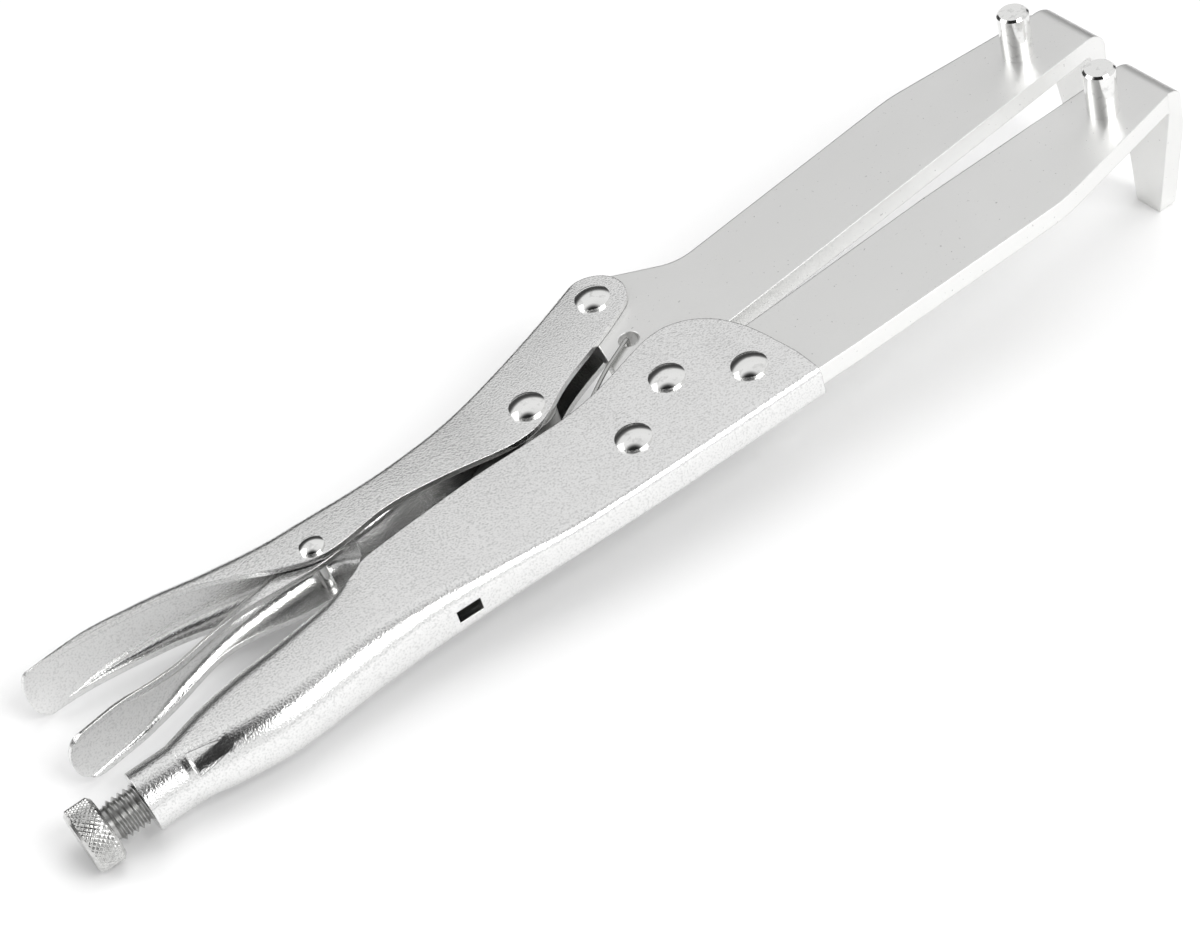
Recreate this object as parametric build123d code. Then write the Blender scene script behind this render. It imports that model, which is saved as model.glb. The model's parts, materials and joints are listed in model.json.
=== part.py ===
from build123d import *
import math
import os

# Locking pliers with long flat jaws.  All sizes are in millimetres.
# Everything is drawn about the jaw pivot, halfway through the jaw plates, and moved at the end so
# that the origin is the middle of the whole tool's box.  +X runs along the tool to the jaw tips,
# +Y goes to the moving handle, and +Z is the side that the grip pins stand on.

# ---------------------------------------------------------------- driving sizes
# Jaw plates
jaw_thickness = 5.5
fixed_jaw_reach = 156.0         # pivot to the outer face of the hook
moving_jaw_reach = 160.4
jaw_width = 28.2                # along the parallel stretch
jaw_tip_width = 17.4            # at the hook
taper_start = 106.0             # where the outer edge starts to close in
jaw_rest_angle = 5.2            # how far the moving jaw stands open at rest, in degrees
jaw_inner_y = 3.6               # the fixed jaw's gripping edge
hook_drop = 42.0                # the hook's tip below the middle of the plate
hook_tip_width = 8.6
bend_radius = 5.8               # outside of the bend between jaw and hook
bend_inner_radius = 1.6
pivot_lobe_radius = 11.0        # round end of the moving jaw about the pivot
lobe_clearance = 0.4
jaw_tail_radius = 9.3           # round end of the moving jaw inside its handle
nose_clearance = 0.6            # between that end and the handle's web

# Grip pins
grip_pin_radius = 4.25
grip_pin_spigot_radius = 3.2    # the part riveted into the jaw
grip_pin_height = 13.5          # above the jaw
grip_pin_chamfer = 0.6
grip_pin_setback = 19.8         # from the outer face of the hook to the pin's axis

# Pressed sheet
fixed_sheet = 1.8
moving_sheet = 1.6
lever_sheet = 1.5
side_clearance = 0.1            # between a jaw or a hub and the sheet beside it
lever_clearance = 0.3           # between the release lever and the handle's cheeks

# Handles
handle_reach = 159.2            # pivot to the open end of the screw tube
moving_handle_reach = 165.5     # pivot to the end of the tongue
lever_reach = 166.6              # pivot to the end of the thumb tongue
grip_half_width = 8.3           # half of the handles' width where the hand goes
station_step = 3.0              # between the sections that a pressed channel is drawn through

# Screw and its tube
screw_radius = 5.0
screw_axis_y = -13.2
screw_clearance = 0.05
tube_radius = 7.5
tube_length = 11.0
crimp_radius = 6.0              # of the tool that dents the sheet ahead of the tube
crimp_length = 14.0
crimp_depth = 1.4
crimp_slope = 16.5              # how the dent runs out forwards, in degrees
crimp_angle = 40.0              # round the tube, from the side that the pins stand on
thread_showing = 9.1            # between the tube and the knob
knob_radius = 8.15
knob_length = 7.0
knob_chamfer = 0.9
neck_radius = 4.2
neck_length = 1.2
screw_tip_gap = 3.0             # free space between the screw's tip and the toggle link

# Rivets
rivet_shank_radius = 3.0
rivet_head_radius = 4.6
rivet_head_rim = 0.6
rivet_head_height = 1.8
small_rivet_shank_radius = 1.6
small_rivet_head_radius = 3.1
small_rivet_head_height = 1.4
running_clearance = 0.06        # shank to the piece that turns on it

# Linkage pivots at rest, in the plane of the tool
handle_pivot = (4.4, 38.2)
link_pivot = (-29.3, 18.9)
lever_pivot = (-93.1, 16.1)
link_foot = (-92.0, screw_axis_y)
front_fixing = (16.0, -12.4)
rear_fixing = (-17.8, -10.5)
spring_hole = (2.7, 20.6)
spring_hole_radius = 2.7

# Toggle link
link_thickness = 4.0
link_hub_radius = 6.8
link_foot_radius = 4.0

# Spring
spring_radius = 2.5
spring_wire_radius = 0.55
spring_lug_x = -71.5
slot_length = 6.5
slot_width = 3.6

# ---------------------------------------------------------------- sizes that follow
jaw_half = jaw_thickness / 2
cheek_inner = jaw_half + side_clearance
fixed_cheek_outer = cheek_inner + fixed_sheet
moving_cheek_outer = cheek_inner + moving_sheet
lever_half_width = grip_half_width - moving_sheet - lever_clearance
fixed_jaw_outer_y = jaw_inner_y - jaw_width
tube_front_x = tube_length - handle_reach
screw_tip_x = link_foot[0] - link_foot_radius - screw_tip_gap
knob_front_x = -handle_reach - thread_showing


# ---------------------------------------------------------------- helpers
def outline(corners):
    """A flat face from (x, y, corner radius) corners."""
    points = [(x, y) for x, y, _ in corners]
    radii = [radius for _, _, radius in corners]
    return make_face(FilletPolyline(points, radius=radii, close=True))


def slab(face, half_thickness):
    """A face of the tool's plane, thickened both ways about the middle."""
    return Pos(0, 0, -half_thickness) * extrude(face, 2 * half_thickness)


def disc(centre, radius, half_thickness):
    return Pos(centre[0], centre[1], 0) * Cylinder(radius, 2 * half_thickness)


def across(profile, half_width):
    """A face drawn in (x, z), thickened along Y about the middle."""
    plane = Plane(origin=(0, half_width, 0), x_dir=(1, 0, 0), z_dir=(0, -1, 0))
    return extrude(plane * profile, 2 * half_width)


def channel_section(x, y_low, y_high, half_width, r_low, r_high):
    """A rounded rectangle square to the X axis, with a radius for each side."""
    plane = Plane(origin=(x, 0, 0), x_dir=(0, 1, 0), z_dir=(1, 0, 0))
    corners = [
        (y_low, -half_width, r_low),
        (y_high, -half_width, r_high),
        (y_high, half_width, r_high),
        (y_low, half_width, r_low),
    ]
    return plane * outline(corners)


def slopes(places, values):
    """A slope for each value, level where the values turn, so that a curve never swells."""
    steps = [
        (values[i + 1] - values[i]) / (places[i + 1] - places[i]) for i in range(len(places) - 1)
    ]
    inner = [
        2 * a * b / (a + b) if a * b > 0 else 0.0 for a, b in zip(steps[:-1], steps[1:])
    ]
    return [steps[0]] + inner + [steps[-1]]


def smoothed(stations, step):
    """More stations, about a step apart, on smooth curves through the given ones."""
    columns = list(zip(*stations))
    places = columns[0]
    curves = [(values, slopes(places, values)) for values in columns[1:]]
    result = []
    for i in range(len(places) - 1):
        span = places[i + 1] - places[i]
        count = max(1, round(abs(span) / step))
        for k in range(count):
            t = k / count
            station = [places[i] + span * t]
            for values, slope in curves:
                station.append(
                    values[i] * (1 + 2 * t) * (1 - t) ** 2
                    + values[i + 1] * t * t * (3 - 2 * t)
                    + slope[i] * span * t * (1 - t) ** 2
                    - slope[i + 1] * span * t * t * (1 - t)
                )
            result.append(tuple(station))
    result.append(tuple(stations[-1]))
    return result


def channel(stations):
    return loft([channel_section(*station) for station in stations], ruled=True)


def rivet(centre, half_grip, shank, head, rim, height):
    """A shank with a domed button head outside each cheek."""
    crown = ThreePointArc((0, height), (head * 0.6, rim + (height - rim) * 0.68), (head, rim))
    sides = Polyline((head, rim), (head, 0), (0, 0), (0, height))
    cap = revolve(Plane.XZ * make_face([crown, sides]), Axis.Z)
    body = Cylinder(shank, 2 * half_grip)
    body += Pos(0, 0, half_grip) * cap
    body += Pos(0, 0, -half_grip) * Rot(180, 0, 0) * cap
    return Pos(centre[0], centre[1], 0) * body


def turned(point, degrees):
    """A point of the tool's plane turned about the jaw pivot."""
    angle = math.radians(degrees)
    x = point[0] * math.cos(angle) - point[1] * math.sin(angle)
    y = point[0] * math.sin(angle) + point[1] * math.cos(angle)
    return (x, y)


def hooked_plate(plan, reach, inner_y, outer_y, tip_inner_y, tip_outer_y, skew=0):
    """A jaw plate whose end is bent down through a right angle into a tapering hook.  The line
    of the bend is square to the plate unless a skew angle turns it."""
    back = -80.0
    strip = outline([
        (back, jaw_half, 0),
        (reach, jaw_half, bend_radius),
        (reach, -hook_drop, 1.0),
        (reach - jaw_thickness, -hook_drop, 1.0),
        (reach - jaw_thickness, -jaw_half, bend_inner_radius),
        (back, -jaw_half, 0),
    ])
    corner = Pos(reach, inner_y, 0)
    bent_strip = corner * Rot(0, 0, skew) * Pos(-reach, -inner_y, 0) * across(strip, 120)
    plate = bent_strip & slab(plan, hook_drop + 5)
    shoulder_z = jaw_half - bend_radius
    hook_front = outline([
        (outer_y, 20, 0),
        (inner_y, 20, 0),
        (inner_y, shoulder_z, 0),
        (tip_inner_y, -hook_drop, 2.0),
        (tip_outer_y, -hook_drop, 2.0),
        (outer_y, shoulder_z, 0),
    ])
    bend_x = reach - bend_radius
    hook_plane = Plane(origin=(bend_x, 0, 0), x_dir=(0, 1, 0), z_dir=(1, 0, 0))
    hook_space = extrude(hook_plane * hook_front, bend_radius + 4)
    plate_space = Pos((back + bend_x) / 2, 0, 0) * Box(bend_x - back, 200, 4 * hook_drop)
    return plate & (hook_space + plate_space)


fixed_pin_centre = (fixed_jaw_reach - grip_pin_setback, jaw_inner_y - jaw_tip_width / 2 - 1.4)
moving_pin_centre = turned(
    (moving_jaw_reach - grip_pin_setback, jaw_inner_y + jaw_tip_width / 2 + 3.5), jaw_rest_angle
)


# ---------------------------------------------------------------- jaws
def make_fixed_jaw():
    tip_outer_y = jaw_inner_y - jaw_tip_width
    plan = outline([
        (-27.5, fixed_jaw_outer_y + 2.0, 6.0),
        (27.0, fixed_jaw_outer_y + 0.3, 0),
        (40.0, fixed_jaw_outer_y, 0),
        (taper_start, fixed_jaw_outer_y, 45.0),
        (fixed_jaw_reach, tip_outer_y, 1.5),
        (fixed_jaw_reach, jaw_inner_y, 1.5),
        (84.0, jaw_inner_y, 80.0),
        (12.0, jaw_inner_y - 2.4, 0),
        (0.0, -4.0, 0),
        (-20.0, -2.0, 6.0),
        (-27.5, -6.5, 5.0),
    ])
    jaw = hooked_plate(
        plan, fixed_jaw_reach, jaw_inner_y, tip_outer_y - 1.0,
        jaw_inner_y - 2.0, jaw_inner_y - 2.0 - hook_tip_width,
    )
    jaw -= disc((0, 0), pivot_lobe_radius + lobe_clearance, jaw_thickness)
    jaw -= disc(front_fixing, rivet_shank_radius, jaw_thickness)
    jaw -= disc(rear_fixing, rivet_shank_radius, jaw_thickness)
    jaw -= disc(fixed_pin_centre, grip_pin_spigot_radius, jaw_thickness)
    return jaw


def make_moving_jaw():
    """Drawn with its gripping edge along X, then swung open about the pivot."""
    inner = jaw_inner_y + 0.3
    outer = inner + jaw_width
    tail = turned(handle_pivot, -jaw_rest_angle)
    slope = math.radians(49)
    shoulder = (tail[0] + jaw_tail_radius * math.cos(slope), tail[1] + jaw_tail_radius * math.sin(slope))
    plan = outline([
        (9.0, inner, 0),
        (moving_jaw_reach + 3, inner, 0),
        (moving_jaw_reach + 3, inner + jaw_tip_width + 1.3, 0),
        (taper_start + 2, outer, 40.0),
        (31.0, outer - 0.6, 14.0),
        (shoulder[0], shoulder[1], 0),
        (tail[0], tail[1], 0),
        (tail[0] - jaw_tail_radius, tail[1], 0),
        (tail[0] - jaw_tail_radius, 25.5, 12.0),
        (-5.0, 15.0, 14.0),
        (-pivot_lobe_radius + 0.6, 3.0, 0),
        (0.0, 0.0, 0),
    ])
    jaw = hooked_plate(
        plan, moving_jaw_reach, inner, inner + jaw_tip_width + 2.6,
        inner + 2.0, inner + 2.0 + hook_tip_width, -jaw_rest_angle,
    )
    jaw += disc(tail, jaw_tail_radius, jaw_half)
    jaw += disc((0, 0), pivot_lobe_radius, jaw_half)
    jaw = Rot(0, 0, jaw_rest_angle) * jaw
    jaw -= disc((0, 0), rivet_shank_radius + running_clearance, jaw_thickness)
    jaw -= disc(handle_pivot, rivet_shank_radius + running_clearance, jaw_thickness)
    jaw -= disc(spring_hole, spring_hole_radius, jaw_thickness)
    jaw -= disc(moving_pin_centre, grip_pin_spigot_radius, jaw_thickness)
    return jaw


def make_grip_pin(centre):
    """A pin that stands on the jaw, with a spigot riveted into it."""
    pin = Pos(0, 0, jaw_half + grip_pin_height / 2) * Cylinder(grip_pin_radius, grip_pin_height)
    pin = chamfer(pin.edges().group_by(Axis.Z)[-1], grip_pin_chamfer)
    pin += Cylinder(grip_pin_spigot_radius, jaw_thickness)
    return Pos(centre[0], centre[1], 0) * pin


# ---------------------------------------------------------------- fixed handle
def fixed_stations():
    """Stations of the pressed channel: x, back, top, half width, back and top corner radius.
    Ahead of the step the top lies above the cheeks, so the channel is open there.  Behind it
    the edges curl in until they meet in the tube."""
    front = fixed_cheek_outer
    widening = grip_half_width - fixed_cheek_outer
    tube_low = screw_axis_y - tube_radius
    tube_high = screw_axis_y + tube_radius
    round_corner = tube_radius - 0.15
    return [
        (28.0, -26.4, 24.0, front, 2.2, 1.0),
        (-10.0, -25.6, 22.0, front, 2.2, 1.0),
        (-38.0, -24.5, 17.5, front, 2.3, 1.0),
        (-64.0, -22.5, 12.5, front + widening * 0.36, 3.4, 1.2),
        (-84.0, -21.7, 7.5, front + widening * 0.78, 5.0, 2.4),
        (-100.0, -22.4, 0.9, front + widening * 0.95, 6.6, 5.2),
        (-124.0, -24.2, -0.6, front + widening, 7.6, 7.6),
        (tube_front_x + 12.0, -22.9, -2.4, front + widening * 0.95, 7.6, 7.6),
        (tube_front_x, tube_low, tube_high, tube_radius, round_corner, round_corner),
    ]


def inset(stations, wall):
    """The stations of the inside of a sheet."""
    inner = []
    for x, low, high, half_width, r_low, r_high in stations:
        r_low = max(r_low - wall, 0.35)
        r_high = max(r_high - wall, 0.35)
        inner.append((x, low + wall, high - wall, half_width - wall, r_low, r_high))
    return inner


def fixed_side_profile():
    """The side view of the cheeks: the lobe about the pivot, and the step behind the palm."""
    top = Spline(
        (26.9, -17.0), (25.5, -6.5), (22.6, 4.0), (17.2, 11.6), (9.4, 15.3), (0.0, 14.1),
        (-12.0, 10.4), (-23.0, 8.4), (-45.0, 8.5), (-66.0, 6.8), (-85.5, 4.0),
    )
    step = Spline((-85.5, 4.0), (-90.0, 1.6), (-97.0, 0.2), tangents=[(-1, -0.2), (-1, 0)])
    rest = Polyline((-97.0, 0.2), (-97.0, 40.0), (-200.0, 40.0), (-200.0, -60.0),
                    (26.9, -60.0), (26.9, -17.0))
    return make_face([top, step, rest])


def make_crimp(angle):
    """The tool that dents the sheet ahead of the tube, so that the tube can't open."""
    tool = Rot(0, 90, 0) * Cylinder(
        crimp_radius, crimp_length, align=(Align.CENTER, Align.CENTER, Align.MIN)
    )
    tool = Pos(0, 0, tube_radius + crimp_radius - crimp_depth) * Rot(0, -crimp_slope, 0) * tool
    return Pos(tube_front_x + 0.4, screw_axis_y, 0) * Rot(angle, 0, 0) * tool


def make_fixed_handle():
    stations = smoothed(fixed_stations(), station_step)
    inside = inset(stations, fixed_sheet)
    bore = screw_radius + screw_clearance
    inside[-1] = (tube_front_x + 1.5, screw_axis_y - bore, screw_axis_y + bore, bore,
                  bore - 0.1, bore - 0.1)
    handle = channel(stations) & slab(fixed_side_profile(), 30)
    tube = Rot(0, 90, 0) * Cylinder(tube_radius, tube_length)
    handle += Pos(tube_front_x - tube_length / 2, screw_axis_y, 0) * tube
    handle -= channel(inside)
    hole = Rot(0, 90, 0) * Cylinder(bore, tube_length + 4)
    handle -= Pos(tube_front_x - tube_length / 2 + 1, screw_axis_y, 0) * hole

    # The curled edges stay apart behind the step, and all but meet along the tube.
    opening = outline([
        (-80.0, -3.4, 0), (tube_front_x + 16, -3.4, 6), (tube_front_x, -0.3, 6),
        (-handle_reach - 2, -0.3, 0), (-handle_reach - 2, 0.3, 0), (tube_front_x, 0.3, 6),
        (tube_front_x + 16, 3.4, 6), (-80.0, 3.4, 0),
    ])
    seam_plane = Plane(origin=(0, screw_axis_y, 0), x_dir=(1, 0, 0), z_dir=(0, -1, 0))
    handle -= extrude(seam_plane * opening, -40)

    for centre in ((0, 0), front_fixing, rear_fixing):
        handle -= disc(centre, rivet_shank_radius, 20)
    handle -= make_crimp(crimp_angle)
    handle -= make_crimp(180 - crimp_angle)

    # The lug for the spring is cut from the back and bent in, which leaves a slot.
    slot = Pos(spring_lug_x - slot_length / 2, -22, 0) * Box(slot_length, 8, slot_width)
    handle -= slot
    lug_height = 5.5
    lug = Pos(spring_lug_x + fixed_sheet / 2, -21.3 + lug_height / 2, 0)
    lug *= Box(fixed_sheet, lug_height + 1.6, slot_width - 0.3)
    eye = Pos(spring_lug_x, -17.6, 0) * Rot(0, 90, 0) * Cylinder(spring_wire_radius + 0.4, 8)
    handle += lug - eye
    return handle


# ---------------------------------------------------------------- moving handle
def make_moving_handle():
    """A channel open towards the fixed handle, that flattens into a tongue at its rear."""
    front = moving_cheek_outer
    widening = grip_half_width - moving_cheek_outer
    stations = [
        (18.0, -8.0, 54.2, front, 1.0, 2.0),
        (-14.0, -8.0, 41.3, front, 1.0, 2.0),
        (-36.0, -8.0, 34.3, front, 1.0, 2.2),
        (-56.0, -8.0, 29.4, front + widening * 0.38, 1.0, 2.8),
        (-76.0, -8.0, 27.4, front + widening * 0.8, 1.0, 3.2),
        (-96.0, -8.0, 28.2, front + widening, 1.0, 3.8),
        (-116.0, -8.0, 32.2, front + widening, 1.0, 4.8),
        (-132.0, -8.0, 35.7, front + widening, 1.0, 4.0),
        (-148.0, -8.0, 37.0, front + widening * 0.95, 1.0, 2.0),
        (-170.0, -8.0, 35.4, front + widening * 0.93, 1.0, 1.7),
    ]
    stations = smoothed(stations, station_step)
    inside = inset(stations, moving_sheet)
    inside = [(x, -20.0, high, half, low_r, high_r) for x, _, high, half, low_r, high_r in inside]
    handle = channel(stations) - channel(inside)

    nose_radius = 8.8
    ax, ay = handle_pivot
    lower_edge = Spline(
        (ax + 4.6, ay - 7.5), (-4.4, 24.3), (-21.0, 16.9), (-29.5, 12.0), (-37.0, 10.9),
        (-48.0, 12.3), (-62.0, 14.2), (-76.0, 14.2), (-87.0, 12.1), (-94.0, 12.3),
        (-102.0, 16.0), (-110.0, 21.2), (-118.0, 26.2), (-128.0, 30.2), (-140.0, 32.8),
        (-152.0, 34.6), (-170.0, 33.4),
    )
    around = Polyline((-170.0, 33.4), (-190.0, 60.0), (-20.0, 60.0), (ax - 3.4, ay + 8.1),
                      (ax, ay), (ax + 4.6, ay - 7.5))
    side = make_face([lower_edge, around]) + Pos(ax, ay) * Circle(nose_radius)
    handle &= slab(side, 30)
    handle -= disc(handle_pivot, jaw_tail_radius + nose_clearance, cheek_inner)
    tip = outline([
        (60, -30, 0), (-moving_handle_reach, -grip_half_width - 0.2, 7.2),
        (-moving_handle_reach, grip_half_width + 0.2, 7.2), (60, 30, 0),
    ])
    handle &= across(tip, 70)
    handle -= disc(handle_pivot, rivet_shank_radius, 20)
    handle -= disc(link_pivot, rivet_shank_radius, 20)
    handle -= disc(lever_pivot, small_rivet_shank_radius, 20)
    return handle


# ---------------------------------------------------------------- release lever
def make_release_lever():
    """A shallow trough on its own pivot inside the moving handle, with a flat thumb tongue."""
    half = lever_half_width
    waist = half * 0.75
    stations = [
        (-80.0, -8.0, 14.6, half - 0.4, 1.0, half * 0.85),
        (-90.0, -8.0, 21.0, half, 1.0, half * 0.88),
        (-99.0, -8.0, 21.4, half, 1.0, half * 0.88),
        (-111.0, -8.0, 20.0, half * 0.87, 1.0, half * 0.82),
        (-123.0, -8.0, 17.8, waist, 1.0, waist * 0.96),
        (-133.0, -8.0, 15.2, waist * 1.08, 1.0, waist * 0.95),
        (-142.0, -8.0, 13.1, half * 1.02, 1.0, half * 0.62),
        (-152.0, -8.0, 11.6, half + 1.1, 1.0, 2.2),
        (-172.0, -8.0, 8.2, half + 1.1, 1.0, 1.7),
    ]
    stations = smoothed(stations, station_step)
    inside = inset(stations, lever_sheet)
    inside = [(x, -20.0, high, hw, low_r, high_r) for x, _, high, hw, low_r, high_r in inside]
    lever = channel(stations) - channel(inside)
    lower_edge = Spline(
        (-82.0, 13.6), (-87.5, 12.1), (-93.0, 11.5), (-101.0, 12.0), (-108.0, 13.2),
        (-117.0, 14.6), (-127.0, 13.6), (-136.0, 11.3), (-146.0, 10.0), (-158.0, 8.6),
        (-172.0, 5.8),
    )
    around = Polyline((-172.0, 5.8), (-180.0, 40.0), (-84.0, 40.0), (-82.0, 13.6))
    lever &= slab(make_face([lower_edge, around]), 30)
    plan = outline([
        (-83.0, -half * 0.55, 2.5), (-89.5, -half - 0.5, 3.0), (-125.0, -20, 0),
        (-lever_reach + 20, -half - 1.1, 3.0), (-lever_reach, -half - 1.1, half + 0.6),
        (-lever_reach, half + 1.1, half + 0.6), (-lever_reach + 20, half + 1.1, 3.0),
        (-125.0, 20, 0), (-89.5, half + 0.5, 3.0),
        (-83.0, half * 0.55, 2.5),
    ])
    lever &= across(plan, 60)
    lever -= disc(lever_pivot, small_rivet_shank_radius + running_clearance, 20)
    return lever


# ---------------------------------------------------------------- linkage, screw and spring
def make_toggle_link():
    """A flat bar from the moving handle to the screw, with a shoulder for the lever's nose."""
    bx, by = link_pivot
    sx, sy = link_foot
    length = math.hypot(sx - bx, sy - by)
    ux, uy = (sx - bx) / length, (sy - by) / length

    def beside(along, off):
        """A point along the bar, off to its upper side."""
        return (bx + ux * along + uy * off, by + uy * along - ux * off)

    half_bar = 3.8
    bar = make_face(Polyline(
        beside(0, -half_bar), beside(length, -half_bar), beside(length, half_bar),
        beside(0, half_bar), close=True,
    ))
    shoulder = outline([
        (*beside(length * 0.42, 0), 0), (*beside(length * 0.47, half_bar + 4.6), 6.0),
        (-76.0, 9.4, 5.0), (-85.0, 10.6, 1.6), (-87.2, 6.4, 4.0),
        (*beside(length - 1, half_bar - 1), 0), (*beside(length - 6, 0), 0),
    ])
    link = slab(bar, link_thickness / 2) + slab(shoulder, link_thickness / 2)
    link += disc(link_pivot, link_hub_radius, jaw_half)
    link += disc(link_foot, link_foot_radius, link_thickness / 2)
    link -= disc(link_pivot, rivet_shank_radius + running_clearance, jaw_thickness)
    return link


def make_adjusting_screw():
    """Turned profile about the screw's axis, from the knob to the tip."""
    knob_back = knob_front_x - knob_length
    tip_cone = 3.0
    half = Polyline(
        (knob_back, 0), (knob_back, knob_radius - knob_chamfer),
        (knob_back + knob_chamfer, knob_radius), (knob_front_x - knob_chamfer, knob_radius),
        (knob_front_x, knob_radius - knob_chamfer), (knob_front_x, neck_radius),
        (knob_front_x + neck_length, neck_radius), (knob_front_x + neck_length, screw_radius),
        (screw_tip_x - tip_cone, screw_radius), (screw_tip_x, screw_radius * 0.5),
        (screw_tip_x, 0), close=True,
    )
    return Pos(0, screw_axis_y, 0) * revolve(make_face(half), Axis.X)


def make_spring():
    """The coil's envelope with a wire hook at each end."""
    hx, hy = spring_hole
    lug = (spring_lug_x, -17.6)
    length = math.hypot(lug[0] - hx, lug[1] - hy)
    ux, uy = (lug[0] - hx) / length, (lug[1] - hy) / length
    coil_start = length * 0.37
    coil_end = length - 11.0

    def on_line(along, z=0.0):
        return (hx + ux * along, hy + uy * along, z)

    middle = on_line((coil_start + coil_end) / 2)
    turn = math.degrees(math.atan2(uy, ux))
    coil = Rot(0, 90, 0) * Cylinder(spring_radius, coil_end - coil_start)
    spring = Pos(*middle) * Rot(0, 0, turn) * coil
    wire = spring_wire_radius
    over = jaw_half + wire + 0.25
    rim = spring_hole_radius - wire - 0.25
    front_hook = FilletPolyline([
        on_line(coil_start + 3, 0), on_line(coil_start - 4, 0), on_line(13, over),
        on_line(rim * 0.6, over), on_line(rim * 0.6, -over), on_line(rim * 0.6 + 5.5, -over),
    ], radius=[2.0, 2.0, 1.2, 1.2])
    rear_hook = FilletPolyline([
        on_line(coil_end - 3, 0), (spring_lug_x + 7, lug[1] + 0.6, 0), (spring_lug_x - 2.4, lug[1], 0),
        (spring_lug_x - 2.4, lug[1] + 4.2, 0), (spring_lug_x + 0.6, lug[1] + 4.2, 0),
    ], radius=[2.0, 1.2, 1.2])
    for path in (front_hook, rear_hook):
        spring += sweep(Plane(path @ 0, z_dir=path % 0) * Circle(wire), path=path)
    return spring


# ---------------------------------------------------------------- rivets
def make_main_rivet(centre, half_grip):
    return rivet(centre, half_grip, rivet_shank_radius, rivet_head_radius,
                 rivet_head_rim, rivet_head_height)


def make_lever_rivet():
    return rivet(lever_pivot, grip_half_width, small_rivet_shank_radius, small_rivet_head_radius,
                 rivet_head_rim, small_rivet_head_height)


# ---------------------------------------------------------------- the assembly
def centred(parts):
    """All the parts moved together, so that the origin is the middle of their common box."""
    boxes = [solid.bounding_box() for solid in parts.values()]
    low = [min(getattr(box.min, axis) for box in boxes) for axis in "XYZ"]
    high = [max(getattr(box.max, axis) for box in boxes) for axis in "XYZ"]
    middle = [(a + b) / 2 for a, b in zip(low, high)]
    print("the jaw pivot is at", [round(-value, 3) for value in middle])
    return {name: Pos(*[-value for value in middle]) * solid for name, solid in parts.items()}


def build():
    return {
        "fixed_handle": make_fixed_handle(),
        "fixed_jaw": make_fixed_jaw(),
        "moving_jaw": make_moving_jaw(),
        "moving_handle": make_moving_handle(),
        "release_lever": make_release_lever(),
        "toggle_link": make_toggle_link(),
        "adjusting_screw": make_adjusting_screw(),
        "return_spring": make_spring(),
        "fixed_grip_pin": make_grip_pin(fixed_pin_centre),
        "moving_grip_pin": make_grip_pin(moving_pin_centre),
        "jaw_pivot_rivet": make_main_rivet((0, 0), fixed_cheek_outer),
        "front_fixing_rivet": make_main_rivet(front_fixing, fixed_cheek_outer),
        "rear_fixing_rivet": make_main_rivet(rear_fixing, fixed_cheek_outer),
        "handle_pivot_rivet": make_main_rivet(handle_pivot, moving_cheek_outer),
        "link_pivot_rivet": make_main_rivet(link_pivot, moving_cheek_outer),
        "lever_pivot_rivet": make_lever_rivet(),
    }


if __name__ == "__main__":
    os.makedirs("parts", exist_ok=True)
    for name, solid in centred(build()).items():
        export_step(solid, f"parts/{name}.step")
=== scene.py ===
import json
import math

import bmesh
import bpy
from mathutils import Euler, Matrix, Vector

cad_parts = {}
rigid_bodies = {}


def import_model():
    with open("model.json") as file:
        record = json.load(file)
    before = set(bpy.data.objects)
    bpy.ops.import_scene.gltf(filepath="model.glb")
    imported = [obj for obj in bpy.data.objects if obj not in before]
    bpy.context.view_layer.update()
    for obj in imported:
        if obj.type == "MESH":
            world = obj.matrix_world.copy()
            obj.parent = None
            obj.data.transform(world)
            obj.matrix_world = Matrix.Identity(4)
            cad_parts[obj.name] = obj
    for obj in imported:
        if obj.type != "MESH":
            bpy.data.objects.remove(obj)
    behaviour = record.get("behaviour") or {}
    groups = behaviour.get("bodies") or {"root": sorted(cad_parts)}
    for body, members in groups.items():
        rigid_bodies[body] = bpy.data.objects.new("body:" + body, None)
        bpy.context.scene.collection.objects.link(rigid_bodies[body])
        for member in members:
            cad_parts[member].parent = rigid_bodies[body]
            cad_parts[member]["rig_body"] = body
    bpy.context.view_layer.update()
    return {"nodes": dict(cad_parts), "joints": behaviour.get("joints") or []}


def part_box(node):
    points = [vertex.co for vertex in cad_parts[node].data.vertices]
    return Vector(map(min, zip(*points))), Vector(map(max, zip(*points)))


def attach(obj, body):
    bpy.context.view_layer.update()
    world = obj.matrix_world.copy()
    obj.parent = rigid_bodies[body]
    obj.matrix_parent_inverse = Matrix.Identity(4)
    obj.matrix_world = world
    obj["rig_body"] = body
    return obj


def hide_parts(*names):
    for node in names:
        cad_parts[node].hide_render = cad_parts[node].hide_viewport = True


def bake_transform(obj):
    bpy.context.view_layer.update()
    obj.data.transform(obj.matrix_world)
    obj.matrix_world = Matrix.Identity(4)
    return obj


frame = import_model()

bl_info = {
    "name": "Locking Pliers",
    "version": (1, 0, 0),
    "blender": (4, 5, 0),
    "location": "View3D > Sidebar > Pliers",
    "description": "Finishes the pressed sheet, jaws, rivets, screw and spring of a pair of locking pliers",
    "category": "Add Mesh",
}

# ---------------------------------------------------------------- places read from the frame
MM = 0.001
JOINTS = {joint["name"]: joint for joint in frame["joints"]}
PIVOT = Vector(JOINTS["jaw_pivot"]["pos_m"])
SCREW_LOW, SCREW_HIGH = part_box("adjusting_screw")
KNOB_RADIUS = (SCREW_HIGH.z - SCREW_LOW.z) / 2
SCREW_AXIS = Vector((0, SCREW_LOW.y + KNOB_RADIUS, (SCREW_LOW.z + SCREW_HIGH.z) / 2))


def from_pivot(x, y, z):
    """A place given in millimetres from the jaw pivot, in metres in the frame."""
    return PIVOT + Vector((x, y, z)) * MM


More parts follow.
